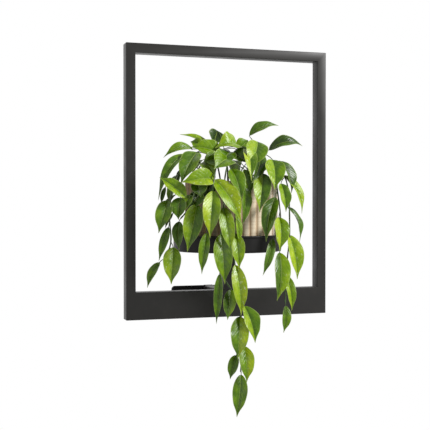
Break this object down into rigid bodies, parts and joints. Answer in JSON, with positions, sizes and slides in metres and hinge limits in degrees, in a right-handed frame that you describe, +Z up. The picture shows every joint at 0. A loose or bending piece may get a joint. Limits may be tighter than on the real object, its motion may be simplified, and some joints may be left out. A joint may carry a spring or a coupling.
{
  "type": "wall planter",
  "caption": "Wall-held steel frame with a round tray on a post, holding a ribbed cachepot, a nursery pot and a trailing plant that lift out.",
  "frame": {"origin": "on the wall, at the centre of the wall plate's back face", "axes": "+Y into the wall, +Z up, +X to the right of someone who faces the wall"},
  "size_m": [0.468, 0.3275, 0.7925],
  "materials": {
    "black_coat": "satin black powder coat",
    "screw_zinc": "zinc plated",
    "washer_rubber": "matt black",
    "cream_ceramic": "unglazed, travertine-like, matt",
    "nursery_plastic": "matt black",
    "potting_soil": "loose bark and peat",
    "leaf_green": "waxy, glossy, variegated leaf"
  },
  "bodies": {
    "steelwork": {"wall_plate": "black_coat", "bracket_arm": "black_coat", "frame_left_upright": "black_coat", "frame_right_upright": "black_coat", "frame_top_rail": "black_coat", "frame_bottom_rail": "black_coat", "left_bottom_cap": "black_coat", "right_bottom_cap": "black_coat", "left_top_cap": "black_coat", "right_top_cap": "black_coat", "post": "black_coat", "post_head": "black_coat", "tray": "black_coat", "tray_washer_1": "washer_rubber", "tray_washer_2": "washer_rubber", "tray_washer_3": "washer_rubber", "tray_washer_4": "washer_rubber", "tray_screw_1": "screw_zinc", "tray_screw_2": "screw_zinc", "tray_screw_3": "screw_zinc", "tray_screw_4": "screw_zinc"},
    "pot": {"ribbed_pot": "cream_ceramic"},
    "plant": {"grow_pot": "nursery_plastic", "soil": "potting_soil", "crown_left": "leaf_green", "crown_centre": "leaf_green", "crown_right": "leaf_green", "vine_left": "leaf_green", "vine_left_front": "leaf_green", "vine_front_left": "leaf_green", "vine_front": "leaf_green", "vine_front_long": "leaf_green", "vine_right": "leaf_green", "vine_right_outer": "leaf_green", "vine_back_left": "leaf_green", "vine_back_right": "leaf_green"}
  },
  "joints": [
    {"name": "pot_lift", "type": "slide", "parent": "steelwork", "child": "pot", "axis": [0, 0, 1], "range_m": [0, 0.045]},
    {"name": "plant_lift", "type": "slide", "parent": "pot", "child": "plant", "axis": [0, 0, 1], "range_m": [0, 0.085]}
  ]
}
